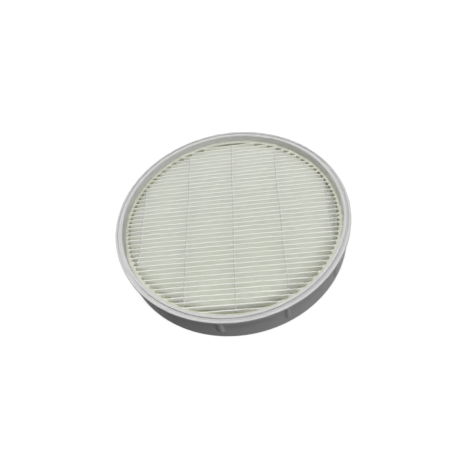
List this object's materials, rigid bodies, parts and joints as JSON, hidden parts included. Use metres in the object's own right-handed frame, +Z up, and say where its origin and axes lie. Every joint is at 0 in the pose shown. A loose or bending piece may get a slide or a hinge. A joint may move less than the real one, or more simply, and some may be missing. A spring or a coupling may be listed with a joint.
{
  "type": "round pleated vacuum filter",
  "caption": "Round flat pleated air filter: a ribbed plastic ring with a grooved rim holds a potted pack of folded filter paper kept open by hot-melt strings.",
  "frame": {"origin": "middle of the underside, on the plane that the ring stands on", "axes": "+Z up through the filter towards the grooved rim, X along the pleats, Y across them"},
  "size_m": [0.15, 0.15, 0.022],
  "materials": {
    "frame_plastic": "moulded, fine satin",
    "filter_paper": "matt fibrous paper",
    "potting": "cast, slightly glossy",
    "hot_melt": "set glue, waxy"
  },
  "bodies": {
    "root": {"frame": "frame_plastic", "pleated_media": "filter_paper", "potting_ring": "potting", "upper_bead_1": "hot_melt", "upper_bead_2": "hot_melt", "upper_bead_3": "hot_melt", "upper_bead_4": "hot_melt", "upper_bead_5": "hot_melt", "lower_bead_1": "hot_melt", "lower_bead_2": "hot_melt", "lower_bead_3": "hot_melt", "lower_bead_4": "hot_melt", "lower_bead_5": "hot_melt"}
  },
  "joints": []
}
